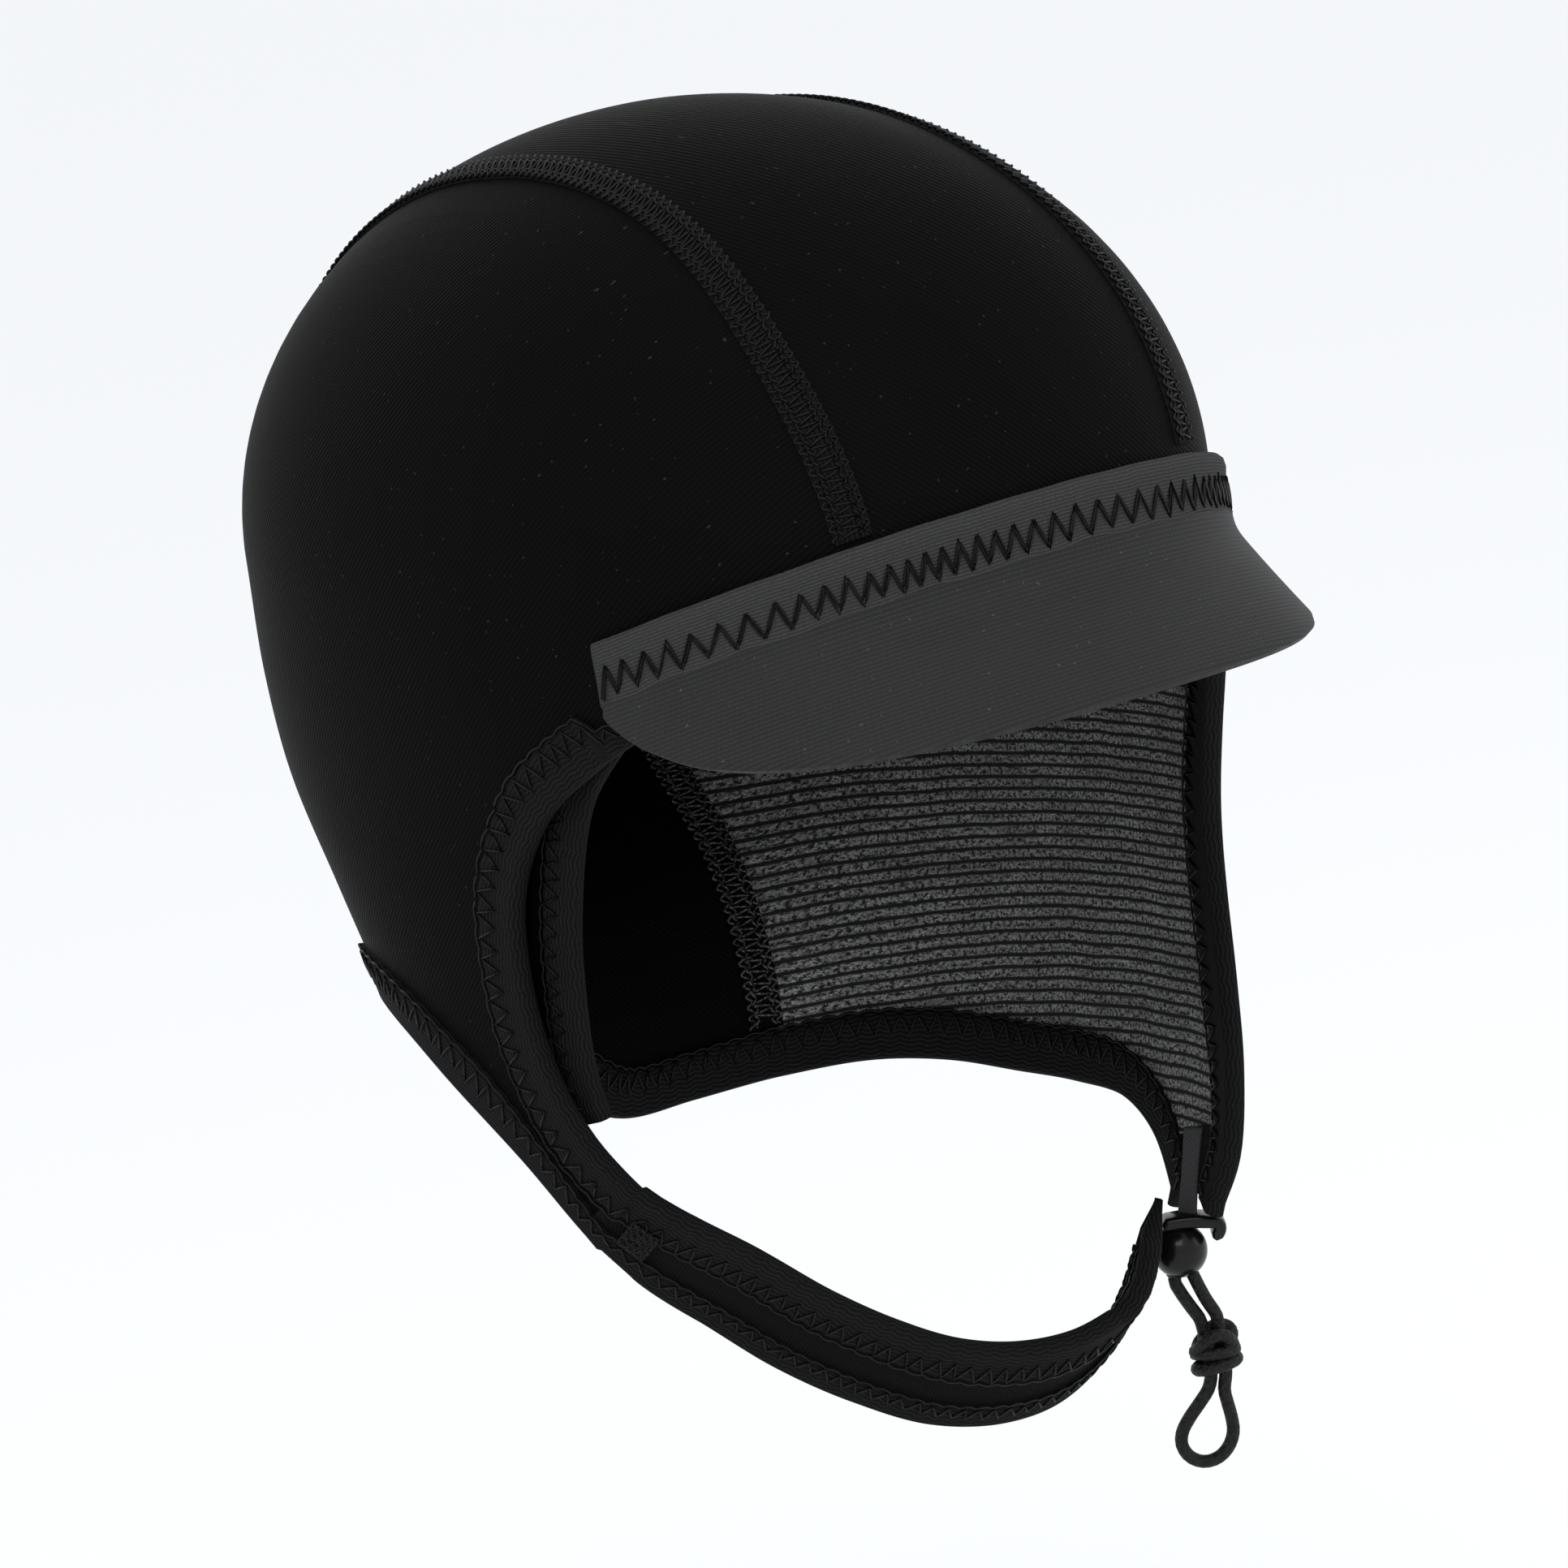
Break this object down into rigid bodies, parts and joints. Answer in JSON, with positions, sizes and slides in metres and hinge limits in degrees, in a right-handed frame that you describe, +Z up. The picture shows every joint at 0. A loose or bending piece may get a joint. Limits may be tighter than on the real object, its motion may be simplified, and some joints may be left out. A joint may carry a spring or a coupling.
{
  "type": "surf cap",
  "caption": "Neoprene surf cap with ear flaps, short drooping peak, chin strap and ball cord lock with a knotted elastic cord.",
  "frame": {"origin": "inside top of the crown, where the top of the head seats", "axes": "+Z up, -Y towards the forehead and peak, +X towards the wearer's left"},
  "size_m": [0.156, 0.2274, 0.2705],
  "materials": {
    "neoprene": "matt black nylon-faced neoprene",
    "jersey": "matt black knit",
    "grey_neoprene": "dark grey ribbed foam face",
    "grey_tape": "dark grey tape with a zigzag stitch",
    "thread": "black thread",
    "gloss": "gloss black",
    "braid": "black braided cord"
  },
  "bodies": {
    "root": {"centre_panel": "neoprene", "side_panel_right": "neoprene", "side_panel_left": "neoprene", "seam_right": "thread", "seam_left": "thread", "seam_inside_right": "thread", "seam_inside_left": "thread", "brow_band": "grey_tape", "peak": "grey_neoprene", "chin_strap": "jersey", "face_binding_right": "jersey", "face_binding_left": "jersey", "nape_binding": "jersey", "inner_flap_right": "jersey", "inner_flap_binding": "jersey", "bartack_right": "thread", "flap_tab": "grey_neoprene", "cord_lock": "gloss", "cord_leg_left": "braid", "cord_leg_right": "braid", "cord_knot": "braid", "cord_loop": "braid"}
  },
  "joints": []
}
